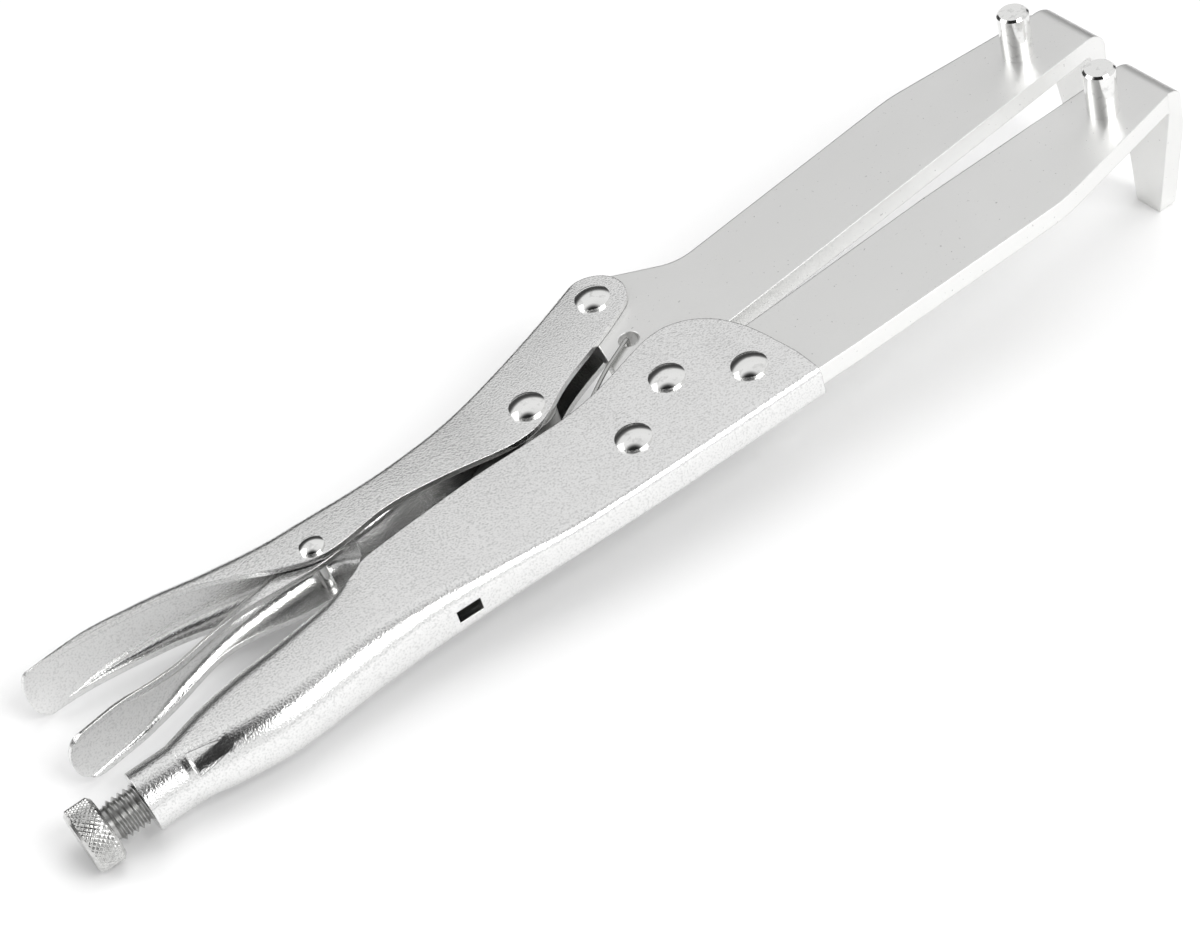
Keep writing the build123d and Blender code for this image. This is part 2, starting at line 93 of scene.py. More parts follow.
# ---------------------------------------------------------------- sizes and colours
def length_property(label, text, value):
    return bpy.props.FloatProperty(
        name=label, description=text, default=value, min=0.0, unit="LENGTH", precision=5
    )


def colour_property(label, text, value):
    return bpy.props.FloatVectorProperty(
        name=label, description=text, default=value, min=0.0, max=1.0, size=3, subtype="COLOR"
    )


class PliersSizes(bpy.types.PropertyGroup):
    """Sizes of the details that are added to the frame."""

    knob_length: length_property("Knob length", "Length of the knurled knob", 7.0 * MM)
    knob_chamfer: length_property("Knob chamfer", "Chamfer at both ends of the knob", 0.9 * MM)
    knurl_depth: length_property("Knurl depth", "Depth of the knurl's grooves", 0.42 * MM)
    knurl_pitch: length_property("Knurl pitch", "Length of one diamond along the knob", 1.3 * MM)
    knurl_count: bpy.props.IntProperty(
        name="Knurl count", description="Diamonds round the knob", default=38, min=8, max=120
    )
    thread_radius: length_property("Thread radius", "Outer radius of the thread", 4.97 * MM)
    thread_depth: length_property("Thread depth", "Height of the thread's ridge", 0.85 * MM)
    thread_pitch: length_property("Thread pitch", "Distance between turns", 1.5 * MM)
    neck_radius: length_property("Neck radius", "Radius between the knob and the thread", 4.1 * MM)
    neck_length: length_property("Neck length", "Length of the neck", 1.0 * MM)
    wire_radius: length_property("Wire radius", "Radius of the spring's wire", 0.55 * MM)
    coil_radius: length_property("Coil radius", "Middle radius of the spring's coil", 1.9 * MM)
    sheet_edge: length_property("Sheet edge", "Rounding of the sheet's edges", 0.35 * MM)
    jaw_edge: length_property("Jaw edge", "Rounding of the jaws' edges", 0.55 * MM)
    sharp_angle: bpy.props.FloatProperty(
        name="Sharp angle", description="Edges sharper than this stay crisp",
        default=math.radians(28), min=0.0, max=math.pi, subtype="ANGLE",
    )


class PliersColours(bpy.types.PropertyGroup):
    """Colours of the finishes."""

    plated_sheet: colour_property("Plated sheet", "Handles and lever", (0.85, 0.85, 0.845))
    plated_jaw: colour_property("Plated jaw", "Jaw plates", (0.88, 0.88, 0.87))
    plated_link: colour_property("Plated link", "Toggle link", (0.42, 0.42, 0.41))
    bright_steel: colour_property("Bright steel", "Pins and rivets", (0.86, 0.86, 0.85))
    screw_steel: colour_property("Screw steel", "Knob and thread", (0.62, 0.62, 0.61))
    spring_wire: colour_property("Spring wire", "Return spring", (0.48, 0.48, 0.47))
    floor: colour_property("Floor", "Plain floor under the tool", (0.93, 0.93, 0.93))


def sizes():
    return bpy.context.scene.pliers_sizes


def colours():
    return bpy.context.scene.pliers_colours


# ---------------------------------------------------------------- finishes
class Finish:
    """A metal finish: a principled shader with helpers that add detail to it."""

    def __init__(self, name, colour, roughness, edge=0.0):
        self.material = bpy.data.materials.new(name)
        self.material.use_nodes = True
        self.nodes = self.material.node_tree.nodes
        self.links = self.material.node_tree.links
        self.shader = self.nodes["Principled BSDF"]
        self.shader.inputs["Base Color"].default_value = (*colour, 1.0)
        self.shader.inputs["Metallic"].default_value = 1.0
        self.shader.inputs["Roughness"].default_value = roughness
        self.coordinates = self.nodes.new("ShaderNodeTexCoord")
        self.normal = None
        if edge:
            rounding = self.nodes.new("ShaderNodeBevel")
            rounding.samples = 6
            rounding.inputs["Radius"].default_value = edge
            self.normal = rounding.outputs["Normal"]

    def noise(self, scale, detail=2.0, stretch=(1, 1, 1)):
        """Noise in the object's own space, with features about 1/scale metres wide."""
        mapping = self.nodes.new("ShaderNodeMapping")
        mapping.inputs["Scale"].default_value = stretch
        self.links.new(self.coordinates.outputs["Object"], mapping.inputs["Vector"])
        texture = self.nodes.new("ShaderNodeTexNoise")
        texture.inputs["Scale"].default_value = scale
        texture.inputs["Detail"].default_value = detail
        self.links.new(mapping.outputs["Vector"], texture.inputs["Vector"])
        return texture.outputs["Fac"]

    def ramp(self, value, start, end, low, high):
        """A value taken from low to high as another goes from start to end."""
        node = self.nodes.new("ShaderNodeMapRange")
        node.inputs["From Min"].default_value = start
        node.inputs["From Max"].default_value = end
        node.inputs["To Min"].default_value = low
        node.inputs["To Max"].default_value = high
        self.links.new(value, node.inputs["Value"])
        return node.outputs["Result"]

    def multiply(self, first, second):
        node = self.nodes.new("ShaderNodeMath")
        node.operation = "MULTIPLY"
        self.links.new(first, node.inputs[0])
        self.links.new(second, node.inputs[1])
        return node.outputs["Value"]

    def bump(self, height, strength, distance):
        """Raises the surface by a height, on top of any bump so far."""
        node = self.nodes.new("ShaderNodeBump")
        node.inputs["Strength"].default_value = strength
        node.inputs["Distance"].default_value = distance
        self.links.new(height, node.inputs["Height"])
        if self.normal:
            self.links.new(self.normal, node.inputs["Normal"])
        self.normal = node.outputs["Normal"]

    def tint(self, amount, colour, shade):
        """Mixes the colour with a darker or brighter one by an amount."""
        node = self.nodes.new("ShaderNodeMix")
        node.data_type = "RGBA"
        node.inputs["A"].default_value = (*colour, 1.0)
        node.inputs["B"].default_value = (*[channel * shade for channel in colour], 1.0)
        self.links.new(amount, node.inputs["Factor"])
        self.links.new(node.outputs["Result"], self.shader.inputs["Base Color"])

    def sheared_wall(self):
        """1 on faces that stand square to the plates, 0 on the plates' faces."""
        parts = self.nodes.new("ShaderNodeSeparateXYZ")
        self.links.new(self.coordinates.outputs["Normal"], parts.inputs["Vector"])
        level = self.nodes.new("ShaderNodeMath")
        level.operation = "ABSOLUTE"
        self.links.new(parts.outputs["Z"], level.inputs[0])
        return self.ramp(level.outputs["Value"], 0.35, 0.75, 1.0, 0.0)

    def done(self):
        if self.normal:
            self.links.new(self.normal, self.shader.inputs["Normal"])
        return self.material


def plated_sheet_finish():
    """Zinc plate over pressed sheet: a fine sparkling grain and a satin sheen."""
    colour = colours().plated_sheet
    finish = Finish("plated_sheet", colour, 0.27, sizes().sheet_edge)
    grain = finish.noise(1900, 3.0)
    clouds = finish.noise(70, 3.0)
    finish.bump(grain, 1.0, 0.09 * MM)
    finish.bump(clouds, 0.25, 0.2 * MM)
    finish.links.new(
        finish.ramp(clouds, 0.3, 0.7, 0.16, 0.25), finish.shader.inputs["Roughness"]
    )
    finish.tint(finish.ramp(grain, 0.5, 0.64, 0.0, 1.0), colour, 0.82)
    return finish.done()


def plated_jaw_finish():
    """Smoother plate over thick steel, with faint specks and sheared, streaked walls."""
    colour = colours().plated_jaw
    finish = Finish("plated_jaw", colour, 0.3, sizes().jaw_edge)
    wall = finish.sheared_wall()
    streaks = finish.noise(900, 2.0, (1.0, 1.0, 0.12))
    clouds = finish.noise(38, 4.0)
    fine = finish.noise(1700, 3.0)
    specks = finish.ramp(finish.noise(1300, 1.0), 0.74, 0.80, 0.0, 1.0)
    finish.bump(finish.multiply(streaks, wall), 0.5, 0.06 * MM)
    finish.bump(clouds, 0.3, 0.3 * MM)
    finish.bump(fine, 0.6, 0.04 * MM)
    finish.links.new(
        finish.ramp(clouds, 0.3, 0.7, 0.36, 0.50), finish.shader.inputs["Roughness"]
    )
    finish.tint(specks, colour, 0.66)
    return finish.done()


def plated_link_finish():
    """Dull plate on the flat toggle link."""
    colour = colours().plated_link
    finish = Finish("plated_link", colour, 0.42, sizes().sheet_edge)
    finish.bump(finish.noise(1500, 3.0), 0.5, 0.05 * MM)
    finish.tint(finish.ramp(finish.noise(160, 3.0), 0.4, 0.7, 0.0, 1.0), colour, 0.7)
    return finish.done()


def bright_steel_finish():
    """Polished steel on the grip pins and the rivets, faintly uneven."""
    colour = colours().bright_steel
    finish = Finish("bright_steel", colour, 0.1)
    finish.bump(finish.noise(500, 1.0), 0.15, 0.01 * MM)
    finish.tint(finish.ramp(finish.noise(600, 2.0), 0.55, 0.7, 0.0, 1.0), colour, 0.82)
    return finish.done()


def screw_steel_finish(name, roughness, shade):
    """Plated screw steel with uneven, slightly darker patches; the shade scales its whole colour as painted
    light and shade.
    """
    colour = [channel * shade for channel in colours().screw_steel]
    finish = Finish(name, colour, roughness)
    finish.bump(finish.noise(2600, 2.0), 0.4, 0.03 * MM)
    finish.tint(finish.ramp(finish.noise(900, 2.0), 0.45, 0.7, 0.0, 1.0), colour, 0.72)
    return finish.done()


def spring_wire_finish():
    """Drawn spring wire."""
    colour = colours().spring_wire
    finish = Finish("spring_wire", colour, 0.25)
    finish.bump(finish.noise(3000, 1.0), 0.3, 0.01 * MM)
    return finish.done()


def floor_finish():
    """Plain matt paper."""
    material = bpy.data.materials.new("floor_paper")
    material.use_nodes = True
    shader = material.node_tree.nodes["Principled BSDF"]
    shader.inputs["Base Color"].default_value = (*colours().floor, 1.0)
    shader.inputs["Roughness"].default_value = 1.0
    shader.inputs["Specular IOR Level"].default_value = 0.0
    return material


# ---------------------------------------------------------------- pieces from the frame
def link_piece(name, mesh, body, material):
    """A finished mesh as a piece that rides on a body."""
    piece = bpy.data.objects.new(name, mesh)
    bpy.context.scene.collection.objects.link(piece)
    mesh.materials.clear()
    mesh.materials.append(material)
    mesh.polygons.foreach_set("material_index", [0] * len(mesh.polygons))
    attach(piece, body)
    return piece


def smooth(mesh, angle):
    mesh.shade_smooth()
    mesh.set_sharp_from_angle(angle=angle)


def piece_from_node(node_name, piece_name, material):
    """A joined and smoothly shaded copy of a node, which stands for it."""
    source = frame["nodes"][node_name]
    mesh = source.data.copy()
    mesh.name = piece_name
    shape = bmesh.new()
    shape.from_mesh(mesh)
    bmesh.ops.remove_doubles(shape, verts=shape.verts, dist=0.002 * MM)
    bmesh.ops.dissolve_degenerate(shape, edges=shape.edges, dist=0.001 * MM)
    shape.to_mesh(mesh)
    shape.free()
    if "custom_normal" in mesh.attributes:
        mesh.attributes.remove(mesh.attributes["custom_normal"])
    smooth(mesh, sizes().sharp_angle)
    piece = link_piece(piece_name, mesh, source["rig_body"], material)
    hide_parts(node_name)
    return piece


# ---------------------------------------------------------------- geometry node trees
class Tree:
    """A geometry node tree with named sizes, and helpers for sums on fields."""

    def __init__(self, name, inputs):
        self.tree = bpy.data.node_groups.new(name, "GeometryNodeTree")
        self.links = self.tree.links
        face = self.tree.interface
        face.new_socket("Geometry", in_out="OUTPUT", socket_type="NodeSocketGeometry")
        for label, kind in inputs.items():
            face.new_socket(label, in_out="INPUT", socket_type=kind)
        self.inputs = self.tree.nodes.new("NodeGroupInput").outputs
        self.result = self.tree.nodes.new("NodeGroupOutput")

    def node(self, kind, **sources):
        """A node with its inputs set from values or from other nodes' outputs."""
        node = self.tree.nodes.new(kind)
        for label, source in sources.items():
            self.feed(node.inputs[label.replace("_", " ")], source)
        return node

    def feed(self, socket, source):
        if isinstance(source, bpy.types.NodeSocket):
            self.links.new(source, socket)
        else:
            socket.default_value = source

    def sum(self, operation, first, second=0.0, third=0.0):
        node = self.tree.nodes.new("ShaderNodeMath")
        node.operation = operation
        for socket, source in zip(node.inputs, (first, second, third)):
            self.feed(socket, source)
        return node.outputs["Value"]

    def zigzag(self, phase):
        """0 in a groove and 1 halfway to the next, once per unit of phase."""
        doubled = self.sum("MULTIPLY", phase, 2.0)
        return self.sum("PINGPONG", doubled, 1.0)

    def finish(self, geometry, material):
        realized = self.node("GeometryNodeRealizeInstances", Geometry=geometry)
        painted = self.node(
            "GeometryNodeSetMaterial", Geometry=realized.outputs["Geometry"], Material=material
        )
        self.links.new(painted.outputs["Geometry"], self.result.inputs["Geometry"])
        return self.tree


def turned_surface(tree, length, around, along, radius_at):
    """A grid rolled up about X, with its radius from a field of place along and turn."""
    grid = tree.node("GeometryNodeMeshGrid", Size_X=length, Size_Y=2 * math.pi,
                     Vertices_X=along, Vertices_Y=around)
    place = tree.node("GeometryNodeInputPosition")
    parts = tree.node("ShaderNodeSeparateXYZ", Vector=place.outputs["Position"])
    x = parts.outputs["X"]
    turn = parts.outputs["Y"]
    radius = radius_at(x, turn)
    side = tree.sum("MULTIPLY", radius, tree.sum("COSINE", turn))
    height = tree.sum("MULTIPLY", radius, tree.sum("SINE", turn))
    moved = tree.node("ShaderNodeCombineXYZ", X=x, Y=side, Z=height)
    rolled = tree.node("GeometryNodeSetPosition", Geometry=grid.outputs["Mesh"],
                       Position=moved.outputs["Vector"])
    joined = tree.node("GeometryNodeMergeByDistance", Geometry=rolled.outputs["Geometry"],
                       Distance=0.002 * MM)
    return joined.outputs["Geometry"]


def knurled_grip_tree(material):
    """A drum with a diamond knurl that runs out on the chamfers at both ends."""
    size = "NodeSocketFloat"
    tree = Tree("knurled_grip", {
        "Length": size, "Radius": size, "Chamfer": size, "Depth": size, "Pitch": size,
        "Count": size, "Steps around": "NodeSocketInt", "Steps along": "NodeSocketInt",
    })

    # The diamonds are cut off flat at this share of a full point.
    flat_top = 0.72

    def radius_at(x, turn):
        round_phase = tree.sum(
            "MULTIPLY", tree.sum("DIVIDE", turn, 2 * math.pi), tree.inputs["Count"]
        )
        along_phase = tree.sum("DIVIDE", x, tree.inputs["Pitch"])
        rising = tree.zigzag(tree.sum("ADD", round_phase, along_phase))
        falling = tree.zigzag(tree.sum("SUBTRACT", round_phase, along_phase))
        diamond = tree.sum("MINIMUM", tree.sum("MINIMUM", rising, falling), flat_top)
        groove = tree.sum("SUBTRACT", flat_top, diamond)
        knurl = tree.sum(
            "SUBTRACT", tree.inputs["Radius"], tree.sum("MULTIPLY", groove, tree.inputs["Depth"])
        )
        from_end = tree.sum(
            "SUBTRACT", tree.sum("MULTIPLY", tree.inputs["Length"], 0.5), tree.sum("ABSOLUTE", x)
        )
        shoulder = tree.sum("SUBTRACT", tree.inputs["Radius"], tree.inputs["Chamfer"])
        return tree.sum("MINIMUM", knurl, tree.sum("ADD", shoulder, from_end))

    drum = turned_surface(tree, tree.inputs["Length"], tree.inputs["Steps around"],
                          tree.inputs["Steps along"], radius_at)
    return tree.finish(drum, material)


def threaded_shank_tree(material):
    """A screw thread with a neck at its rear and a cone at its tip."""
    size = "NodeSocketFloat"
    tree = Tree("threaded_shank", {
        "Length": size, "Radius": size, "Depth": size, "Pitch": size, "Neck radius": size,
        "Neck length": size, "Tip radius": size, "Tip slope": size,
        "Steps around": "NodeSocketInt", "Steps along": "NodeSocketInt",
    })

    # The root is flat for this share of a half turn, and the flanks then rise this steeply.
    root_share = 0.14
    flank_slope = 1.3

    def radius_at(x, turn):
        phase = tree.sum(
            "SUBTRACT", tree.sum("DIVIDE", x, tree.inputs["Pitch"]),
            tree.sum("DIVIDE", turn, 2 * math.pi),
        )
        past_root = tree.sum("SUBTRACT", tree.zigzag(phase), root_share)
        flank = tree.sum("MULTIPLY", past_root, flank_slope)
        ridge = tree.sum("MINIMUM", tree.sum("MAXIMUM", flank, 0.0), 1.0)
        root = tree.sum("SUBTRACT", tree.inputs["Radius"], tree.inputs["Depth"])
        thread = tree.sum("MULTIPLY_ADD", ridge, tree.inputs["Depth"], root)
        half = tree.sum("MULTIPLY", tree.inputs["Length"], 0.5)
        past_neck = tree.sum(
            "SUBTRACT", tree.sum("ADD", x, half), tree.inputs["Neck length"]
        )
        rear = tree.sum("ADD", tree.inputs["Neck radius"], tree.sum("MAXIMUM", past_neck, 0.0))
        to_tip = tree.sum("SUBTRACT", half, x)
        front = tree.sum("MULTIPLY_ADD", to_tip, tree.inputs["Tip slope"], tree.inputs["Tip radius"])
        return tree.sum("MINIMUM", thread, tree.sum("MINIMUM", rear, front))

    shank = turned_surface(tree, tree.inputs["Length"], tree.inputs["Steps around"],
                           tree.inputs["Steps along"], radius_at)
    return tree.finish(shank, material)


def wire_coil_tree(material):
    """A close coil of round wire along Z."""
    size = "NodeSocketFloat"
    tree = Tree("wire_coil", {
        "Length": size, "Coil radius": size, "Wire radius": size, "Turns": size,
    })
    spiral = tree.node("GeometryNodeCurveSpiral", Resolution=20, Rotations=tree.inputs["Turns"],
                       Start_Radius=tree.inputs["Coil radius"],
                       End_Radius=tree.inputs["Coil radius"], Height=tree.inputs["Length"])
    section = tree.node("GeometryNodeCurvePrimitiveCircle", Resolution=10,
                        Radius=tree.inputs["Wire radius"])
    wire = tree.node("GeometryNodeCurveToMesh", Curve=spiral.outputs["Curve"],
                     Profile_Curve=section.outputs["Curve"], Fill_Caps=True)
    return tree.finish(wire.outputs["Mesh"], material)


def mesh_from_tree(name, tree, values):
    """The tree's result for these values as a plain mesh."""
    maker = bpy.data.objects.new(name, bpy.data.meshes.new(name))
    bpy.context.scene.collection.objects.link(maker)
    modifier = maker.modifiers.new("Shape", "NODES")
    modifier.node_group = tree
    identifiers = {
        item.name: item.identifier
        for item in tree.interface.items_tree
        if item.item_type == "SOCKET" and item.in_out == "INPUT"
    }
    for label, value in values.items():
        modifier[identifiers[label]] = value
    maker.update_tag()
    depsgraph = bpy.context.evaluated_depsgraph_get()
    mesh = bpy.data.meshes.new_from_object(maker.evaluated_get(depsgraph))
    maker.modifiers.remove(modifier)
    bpy.data.objects.remove(maker)
    if not mesh.polygons:
        raise RuntimeError(f"the tree for {name} made nothing")
    return mesh


def close_and_smooth(mesh, angle):
    """Fills the open ends, turns every face outwards and shades the mesh."""
    shape = bmesh.new()
    shape.from_mesh(mesh)
    bmesh.ops.remove_doubles(shape, verts=shape.verts, dist=0.002 * MM)
    rims = [edge for edge in shape.edges if edge.is_boundary]
    if rims:
        bmesh.ops.holes_fill(shape, edges=rims, sides=0)
    bmesh.ops.recalc_face_normals(shape, faces=shape.faces)
    shape.to_mesh(mesh)
    shape.free()
    smooth(mesh, angle)


# ---------------------------------------------------------------- the pieces
class PLIERS_OT_sheet(bpy.types.Operator):
    """Finish the two pressed handles and the release lever"""

    bl_idname = "pliers.sheet"
    bl_label = "Handles and lever"

    def execute(self, context):
        material = plated_sheet_finish()
        for node, piece in (
            ("fixed_handle", "fixed_handle_sheet"),
            ("moving_handle", "moving_handle_sheet"),
            ("release_lever", "release_lever_sheet"),
        ):
            piece_from_node(node, piece, material)
        return {"FINISHED"}


class PLIERS_OT_jaws(bpy.types.Operator):
    """Finish the two jaw plates with their hooks"""

    bl_idname = "pliers.jaws"
    bl_label = "Jaws"

    def execute(self, context):
        material = plated_jaw_finish()
        for side in ("fixed", "moving"):
            piece_from_node(f"{side}_jaw", f"{side}_jaw_plate", material)
        return {"FINISHED"}


class PLIERS_OT_pins_and_rivets(bpy.types.Operator):
    """Polish the grip pins and the rivets"""

    bl_idname = "pliers.pins_and_rivets"
    bl_label = "Pins and rivets"

    def execute(self, context):
        material = bright_steel_finish()
        names = [name for name in frame["nodes"] if name.endswith(("_pin", "_rivet"))]
        if not names:
            raise RuntimeError("the frame has no pins or rivets")
        for name in sorted(names):
            piece_from_node(name, f"{name}_polished", material)
        return {"FINISHED"}


class PLIERS_OT_linkage(bpy.types.Operator):
    """Finish the toggle link"""

    bl_idname = "pliers.linkage"
    bl_label = "Toggle link"

    def execute(self, context):
        piece_from_node("toggle_link", "toggle_link_bar", plated_link_finish())
        return {"FINISHED"}


class PLIERS_OT_screw(bpy.types.Operator):
    """Build the knurled knob and the threaded shank"""

    bl_idname = "pliers.screw"
    bl_label = "Adjusting screw"

    steps_per_diamond = 8
    knob_steps_along = 45
    thread_steps_around = 49
    steps_per_turn = 14
    knurl_sharp = math.radians(16)
    thread_sharp = math.radians(50)
    neck_overlap = 0.2 * MM
    tip_length = 3 * MM

    def execute(self, context):
        size = sizes()
        # The knob's copy is a little brightened and the thread's copy darkened: painted light on the knob,
        # painted shade on the thread.
        knurled_steel = screw_steel_finish("knurled_steel", 0.16, 1.05)
        shaded_thread_steel = screw_steel_finish("shaded_thread_steel", 0.28, 0.75)
        knob_middle = SCREW_LOW.x + size.knob_length / 2
        grip = mesh_from_tree(
            "knurled_knob",
            knurled_grip_tree(knurled_steel),
            {
                "Length": size.knob_length, "Radius": KNOB_RADIUS, "Chamfer": size.knob_chamfer,
                "Depth": size.knurl_depth, "Pitch": size.knurl_pitch,
                "Count": float(size.knurl_count),
                "Steps around": size.knurl_count * self.steps_per_diamond + 1,
                "Steps along": self.knob_steps_along,
            },
        )
        close_and_smooth(grip, self.knurl_sharp)
        grip.transform(Matrix.Translation(SCREW_AXIS + Vector((knob_middle, 0, 0))))
        knob = link_piece("knurled_knob", grip, "screw", knurled_steel)
        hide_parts("adjusting_screw")

        rear = SCREW_LOW.x + size.knob_length - self.neck_overlap
        length = SCREW_HIGH.x - rear
        tip_radius = size.thread_radius * 0.5
        shank = mesh_from_tree(
            "threaded_shank",
            threaded_shank_tree(shaded_thread_steel),
            {
                "Length": length, "Radius": size.thread_radius, "Depth": size.thread_depth,
                "Pitch": size.thread_pitch, "Neck radius": size.neck_radius,
                "Neck length": size.neck_length + self.neck_overlap,
                "Tip radius": tip_radius, "Tip slope": tip_radius / self.tip_length,
                "Steps around": self.thread_steps_around,
                "Steps along": int(length / size.thread_pitch * self.steps_per_turn),
            },
        )
        close_and_smooth(shank, self.thread_sharp)
        shank.transform(Matrix.Translation(SCREW_AXIS + Vector((rear + length / 2, 0, 0))))
        link_piece("threaded_shank", shank, "screw", shaded_thread_steel)
        return {"FINISHED"}


def wire_along(name, points, radius):
    """A round wire through the points, as a mesh with closed ends."""
    curve = bpy.data.curves.new(name, "CURVE")
    curve.dimensions = "3D"
    curve.bevel_depth = radius
    curve.bevel_resolution = 3
    curve.resolution_u = 6
    curve.use_fill_caps = True
    spline = curve.splines.new("NURBS")
    spline.points.add(len(points) - 1)
    for point, place in zip(spline.points, points):
        point.co = (*place, 1.0)
    spline.order_u = 3
    spline.use_endpoint_u = True
    maker = bpy.data.objects.new(name, curve)
    bpy.context.scene.collection.objects.link(maker)
    depsgraph = bpy.context.evaluated_depsgraph_get()
    mesh = bpy.data.meshes.new_from_object(maker.evaluated_get(depsgraph))
    bpy.data.objects.remove(maker)
    return mesh


class PLIERS_OT_spring(bpy.types.Operator):
    """Wind the return spring and hook it into the jaw and the handle"""

    bl_idname = "pliers.spring"
    bl_label = "Return spring"

    # In millimetres from the pivot: the jaw's hole, the handle's lug and half the jaw's thickness.
    hole = (2.7, 20.6)
    lug = (-71.5, -17.6)
    jaw_half = 2.75
    front_hook_share = 0.37
    rear_hook_length = 11.0
    # The pitch of the coil as a share of the wire's radius: a little over two, so turns stay apart.
    pitch_share = 2.12
    sharp = math.radians(60)

    def execute(self, context):
        size = sizes()
        hole = Vector((*self.hole, 0))
        span = Vector((*self.lug, 0)) - hole
        length = span.length
        direction = span.normalized()
        coil_start = length * self.front_hook_share
        coil_end = length - self.rear_hook_length

        def on_line(along, z=0.0):
            spot = hole + direction * along
            return from_pivot(spot.x, spot.y, z)

        material = spring_wire_finish()
        wire = size.wire_radius
        coil_length = (coil_end - coil_start) * MM
        turns = int(coil_length / (self.pitch_share * wire))
        coil = mesh_from_tree("coil", wire_coil_tree(material), {
            "Length": coil_length, "Coil radius": size.coil_radius, "Wire radius": wire,
            "Turns": float(turns),
        })
        aim = direction.to_track_quat("Z", "Y").to_matrix().to_4x4()
        coil.transform(Matrix.Translation(on_line(coil_start)) @ aim)

        over = self.jaw_half + wire / MM + 0.25
        side = size.coil_radius / MM
        x, y = self.lug
        front = wire_along("front_hook", [
            on_line(coil_start + 1.5, side), on_line(coil_start - 1.5, side * 0.8),
            on_line(coil_start - 5.0, 0.8), on_line(13.0, over + 0.2), on_line(7.0, over),
            on_line(2.6, over), on_line(0.9, over + 0.1), on_line(0.6, over - 1.0),
            on_line(0.6, 0.0), on_line(0.6, 1.2 - over), on_line(1.0, -over - 0.1),
            on_line(3.0, -over), on_line(6.5, -over),
        ], wire)
        rear = wire_along("rear_hook", [
            on_line(coil_end - 1.5, side), on_line(coil_end + 1.0, side * 0.7),
            on_line(coil_end + 3.0, 0.2), from_pivot(x + 5.0, y + 0.5, 0.0),
            from_pivot(x + 1.0, y, 0.0), from_pivot(x - 1.6, y, 0.0),
            from_pivot(x - 2.4, y + 0.4, 0.0), from_pivot(x - 2.4, y + 3.4, 0.0),
            from_pivot(x - 1.6, y + 4.2, 0.0), from_pivot(x + 0.6, y + 4.2, 0.0),
        ], wire)
        shape = bmesh.new()
        for mesh in (coil, front, rear):
            shape.from_mesh(mesh)
        whole = bpy.data.meshes.new("return_spring_wire")
        shape.to_mesh(whole)
        shape.free()
        close_and_smooth(whole, self.sharp)
        whole.materials.append(material)
        whole.polygons.foreach_set("material_index", [0] * len(whole.polygons))
        piece = bpy.data.objects.new("return_spring_wire", whole)
        context.scene.collection.objects.link(piece)
        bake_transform(piece)
        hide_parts("return_spring")
        return {"FINISHED"}


# ---------------------------------------------------------------- the stage
def area_light(name, place, target, size, power):
    """A soft square lamp at a place, facing a target."""
    lamp = bpy.data.lights.new(name, "AREA")
    lamp.size = size
    lamp.energy = power
    light = bpy.data.objects.new(name, lamp)
    bpy.context.scene.collection.objects.link(light)
    light.location = place
    light.rotation_euler = (Vector(target) - Vector(place)).to_track_quat("-Z", "Y").to_euler()


class Room:
    """The world's node tree: a bright room with a dark side, which the metal mirrors."""

    # What a direction is multiplied by, and what is added, to give its height in the room.
    slope = (0.0, -0.3, 0.6)
    lift = 0.3
    # Heights and their shades: dark low behind the tool, bright above and in front of it.
    shades = ((0.0, 0.10), (0.2, 0.05), (0.30, 0.12), (0.44, 0.86), (0.7, 0.9), (1.0, 0.8))
    # A dark patch overhead on the screw's side, with its full and outer radius.
    patch_direction = (-0.35, -0.3, 0.89)
    patch_inner = math.radians(20)
    patch_outer = math.radians(38)
    patch_shade = (0.02, 0.02, 0.02, 1.0)
    backdrop_shade = (1.0, 1.0, 1.0, 1.0)

    def __init__(self, world):
        world.use_nodes = True
        self.nodes = world.node_tree.nodes
        self.links = world.node_tree.links
        self.direction = self.nodes.new("ShaderNodeTexCoord").outputs["Generated"]
        background = self.nodes["Background"]
        background.inputs["Strength"].default_value = 1.0
        room = self.mix(self.patch(), self.bands(), self.patch_shade)
        seen = self.nodes.new("ShaderNodeLightPath").outputs["Is Camera Ray"]
        self.links.new(self.mix(seen, room, self.backdrop_shade), background.inputs["Color"])

    def along(self, axis):
        """How far the direction points along an axis."""
        node = self.nodes.new("ShaderNodeVectorMath")
        node.operation = "DOT_PRODUCT"
        node.inputs[1].default_value = axis
        self.links.new(self.direction, node.inputs[0])
        return node.outputs["Value"]

    def mix(self, amount, colour, other):
        """A colour taken over to a fixed one by an amount."""
        node = self.nodes.new("ShaderNodeMix")
        node.data_type = "RGBA"
        node.inputs["B"].default_value = other
        self.links.new(amount, node.inputs["Factor"])
        self.links.new(colour, node.inputs["A"])
        return node.outputs["Result"]

    def bands(self):
        """The shades of the room by height."""
        lifted = self.nodes.new("ShaderNodeMath")
        lifted.inputs[1].default_value = self.lift
        self.links.new(self.along(self.slope), lifted.inputs[0])
        ramp = self.nodes.new("ShaderNodeValToRGB")
        ramp.color_ramp.interpolation = "EASE"
        self.links.new(lifted.outputs["Value"], ramp.inputs["Fac"])
        elements = ramp.color_ramp.elements
        while len(elements) < len(self.shades):
            elements.new(0.5)
        for element, (height, shade) in zip(elements, self.shades):
            element.position = height
            element.color = (shade, shade, shade, 1.0)
        return ramp.outputs["Color"]

    def patch(self):
        """1 inside the dark patch and 0 outside it."""
        edge = self.nodes.new("ShaderNodeMapRange")
        edge.interpolation_type = "SMOOTHSTEP"
        edge.inputs["From Min"].default_value = math.cos(self.patch_outer)
        edge.inputs["From Max"].default_value = math.cos(self.patch_inner)
        middle = Vector(self.patch_direction).normalized()
        self.links.new(self.along(middle), edge.inputs["Value"])
        return edge.outputs["Result"]


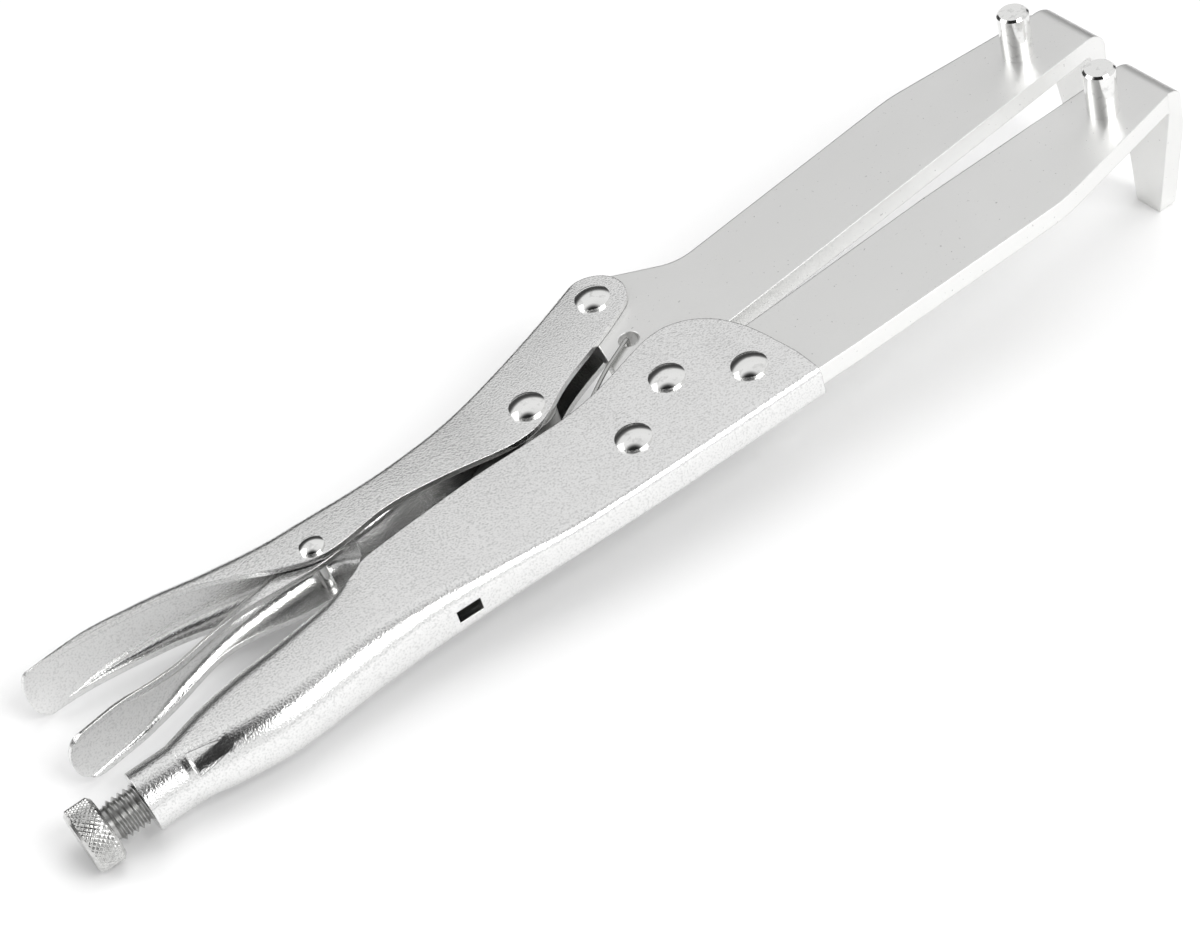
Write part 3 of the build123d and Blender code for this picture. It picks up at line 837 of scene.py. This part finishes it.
class PLIERS_OT_stage(bpy.types.Operator):
    """Add the floor, the lights and the camera"""

    bl_idname = "pliers.stage"
    bl_label = "Floor, lights and camera"

    # The tool rests on its knob and on its hooks: x and z of both, from the pivot.
    floor_rear = (-172.0, -8.2)
    floor_front = (157.0, -42.0)
    floor_size = 9.0
    camera_place = (-198.05, -420.0, 425.8)
    camera_turn = math.radians(22.5)
    camera_dip = math.radians(43.672)
    camera_roll = math.radians(-18.427)
    camera_lens = 77.85
    # Place from the pivot, size in metres, power in watts.
    softboxes = {
        "front_softbox": ((330, -900, 880), 0.6, 7.0),
        "rear_softbox": ((-900, 700, 900), 0.9, 4.0),
    }
    ceiling_direction = (-0.38, 0.05, -0.92)
    ceiling_energy = 0.7
    ceiling_angle = math.radians(40)

    def add_floor(self, context):
        (x0, z0), (x1, z1) = self.floor_rear, self.floor_front
        slope = math.atan2(z1 - z0, x1 - x0)
        half = self.floor_size / 2
        mesh = bpy.data.meshes.new("floor")
        corners = [(-half, -half, 0), (half, -half, 0), (half, half, 0), (-half, half, 0)]
        mesh.from_pydata(corners, [], [(0, 1, 2, 3)])
        middle = from_pivot((x0 + x1) / 2, 0, (z0 + z1) / 2)
        mesh.transform(Matrix.Translation(middle) @ Euler((0, -slope, 0)).to_matrix().to_4x4())
        mesh.materials.append(floor_finish())
        floor = bpy.data.objects.new("floor", mesh)
        context.scene.collection.objects.link(floor)

    def add_lights(self, context):
        for name, (place, size, power) in self.softboxes.items():
            area_light(name, from_pivot(*place), from_pivot(0, 0, 0), size, power)
        lamp = bpy.data.lights.new("ceiling", "SUN")
        lamp.energy = self.ceiling_energy
        lamp.angle = self.ceiling_angle
        ceiling = bpy.data.objects.new("ceiling", lamp)
        context.scene.collection.objects.link(ceiling)
        # It whitens the floor, but the metal doesn't mirror it.
        ceiling.visible_glossy = False
        aim = Vector(self.ceiling_direction).to_track_quat("-Z", "Y")
        ceiling.rotation_euler = aim.to_euler()

    def add_camera(self, context):
        lens = bpy.data.cameras.new("camera")
        lens.sensor_width = 36.0
        lens.lens = self.camera_lens
        lens.clip_start = 0.01
        lens.clip_end = 100.0
        camera = bpy.data.objects.new("camera", lens)
        context.scene.collection.objects.link(camera)
        turn, dip, roll = self.camera_turn, self.camera_dip, self.camera_roll
        ahead = Vector((math.sin(turn), math.cos(turn), 0))
        forward = ahead * math.cos(dip) - Vector((0, 0, math.sin(dip)))
        level = Vector((math.cos(turn), -math.sin(turn), 0))
        upright = level.cross(forward)
        right = math.cos(roll) * level + math.sin(roll) * upright
        up = -math.sin(roll) * level + math.cos(roll) * upright
        axes = Matrix((right, up, -forward)).transposed().to_4x4()
        camera.matrix_world = Matrix.Translation(from_pivot(*self.camera_place)) @ axes
        context.scene.camera = camera

    def execute(self, context):
        self.add_floor(context)
        context.scene.world = bpy.data.worlds.new("white_room")
        Room(context.scene.world)
        self.add_lights(context)
        self.add_camera(context)
        context.scene.view_settings.view_transform = "Standard"
        return {"FINISHED"}


# ---------------------------------------------------------------- the add-on
PIECE_OPERATORS = (
    PLIERS_OT_sheet,
    PLIERS_OT_jaws,
    PLIERS_OT_pins_and_rivets,
    PLIERS_OT_linkage,
    PLIERS_OT_screw,
    PLIERS_OT_spring,
    PLIERS_OT_stage,
)


class PLIERS_PT_panel(bpy.types.Panel):
    """Lists the pieces and their sizes"""

    bl_label = "Locking Pliers"
    bl_idname = "PLIERS_PT_panel"
    bl_space_type = "VIEW_3D"
    bl_region_type = "UI"
    bl_category = "Pliers"

    def draw(self, context):
        for group in (context.scene.pliers_sizes, context.scene.pliers_colours):
            for name in group.bl_rna.properties.keys():
                if name not in ("name", "rna_type"):
                    self.layout.prop(group, name)
        for operator in PIECE_OPERATORS:
            self.layout.operator(operator.bl_idname)


CLASSES = (PliersSizes, PliersColours, *PIECE_OPERATORS, PLIERS_PT_panel)


def register():
    for item in CLASSES:
        bpy.utils.register_class(item)
    bpy.types.Scene.pliers_sizes = bpy.props.PointerProperty(type=PliersSizes)
    bpy.types.Scene.pliers_colours = bpy.props.PointerProperty(type=PliersColours)


def unregister():
    del bpy.types.Scene.pliers_colours
    del bpy.types.Scene.pliers_sizes
    for item in reversed(CLASSES):
        bpy.utils.unregister_class(item)


def main():
    register()
    bpy.ops.pliers.stage()
    bpy.ops.pliers.sheet()
    bpy.ops.pliers.jaws()
    bpy.ops.pliers.pins_and_rivets()
    bpy.ops.pliers.linkage()
    bpy.ops.pliers.screw()
    bpy.ops.pliers.spring()


if __name__ == "__main__":
    main()
